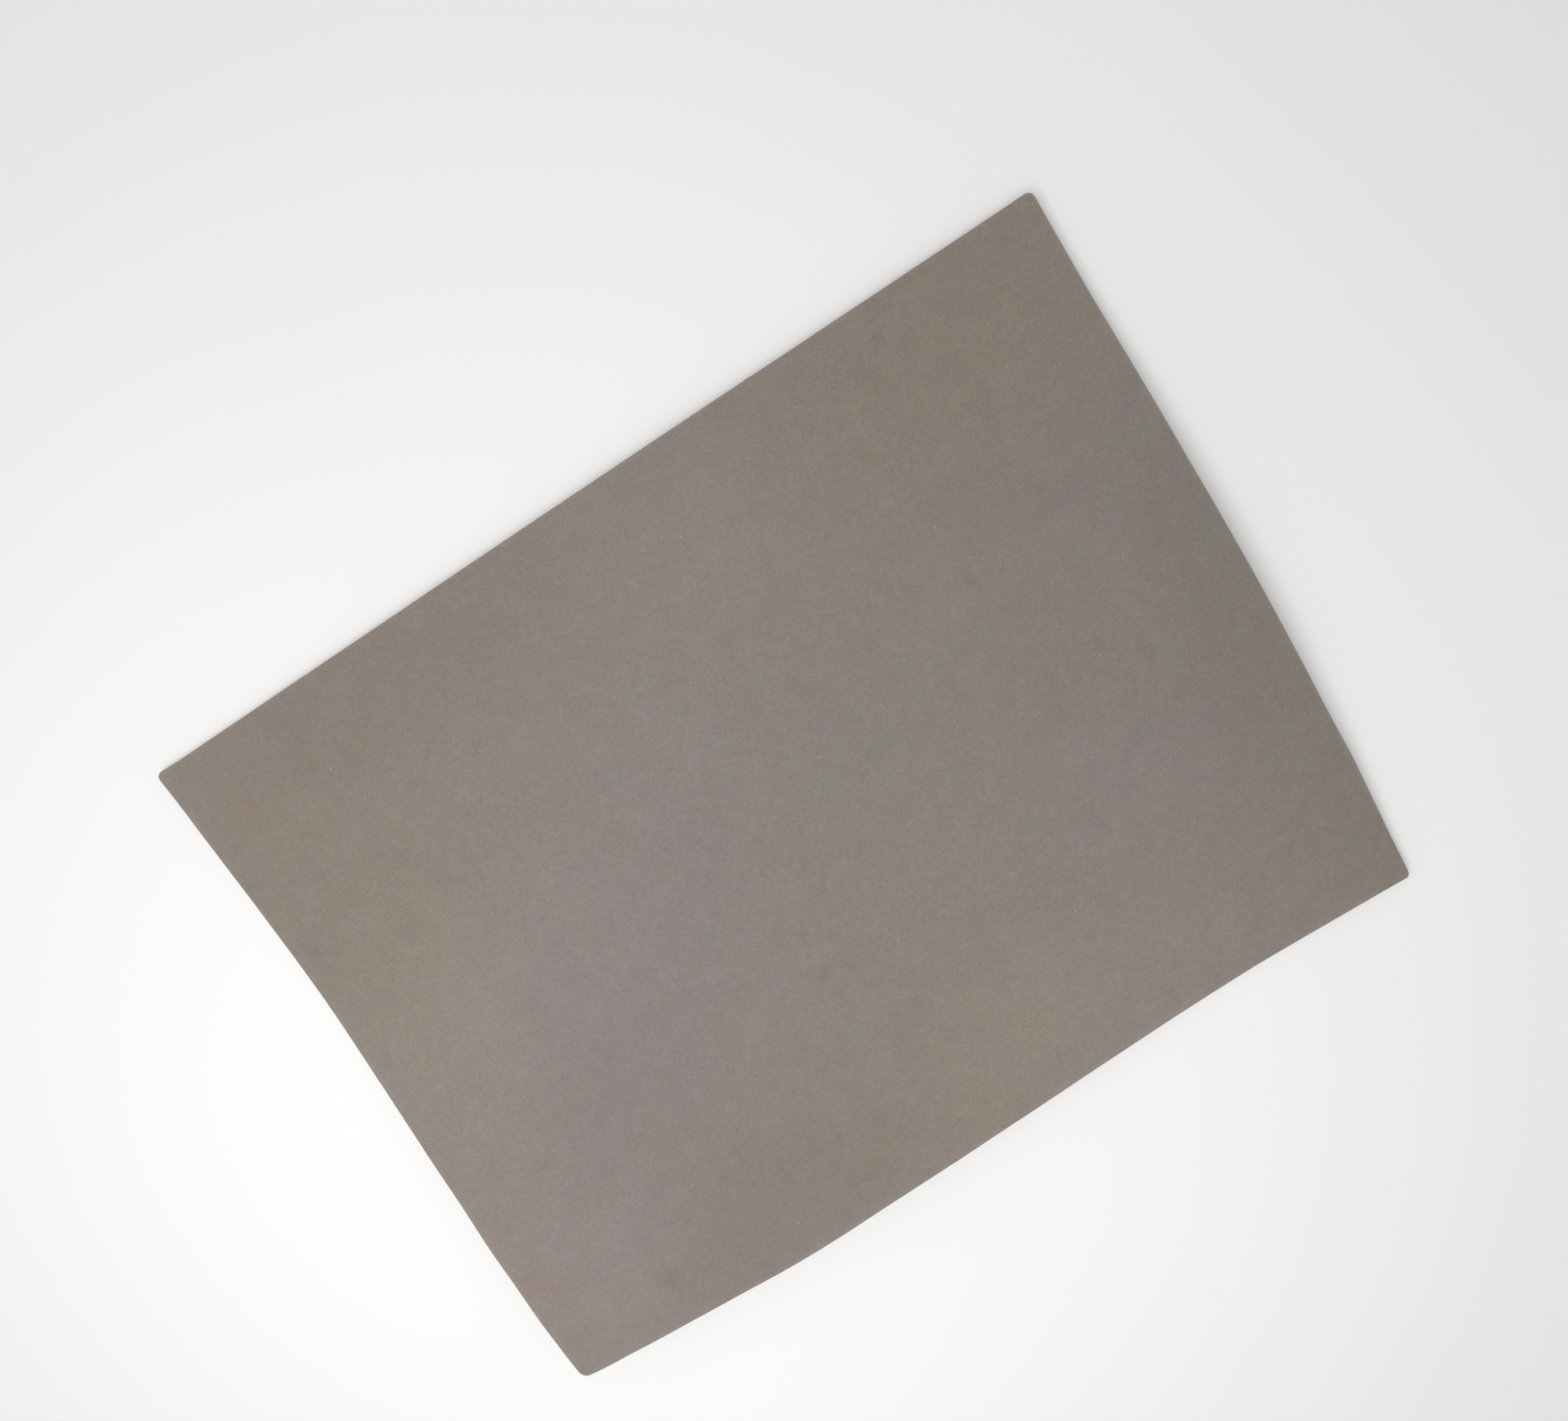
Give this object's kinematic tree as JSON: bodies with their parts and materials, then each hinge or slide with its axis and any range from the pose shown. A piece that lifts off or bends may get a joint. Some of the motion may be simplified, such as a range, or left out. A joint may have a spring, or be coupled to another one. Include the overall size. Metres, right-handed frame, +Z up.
{
  "type": "craft foam sheet",
  "caption": "Thin rectangular sheet of soft closed-cell craft foam, flat in its middle, with long shallow waves along its edges.",
  "frame": {"origin": "on the floor under the middle of the sheet", "axes": "+X along the long edges towards the right edge, +Y from the front long edge to the back one, +Z up through the sheet"},
  "size_m": [0.305, 0.2288, 0.0165],
  "materials": {
    "foam": "matte greyish taupe closed-cell foam with a fine even grain"
  },
  "bodies": {
    "root": {"foam_sheet": "foam"}
  },
  "joints": []
}
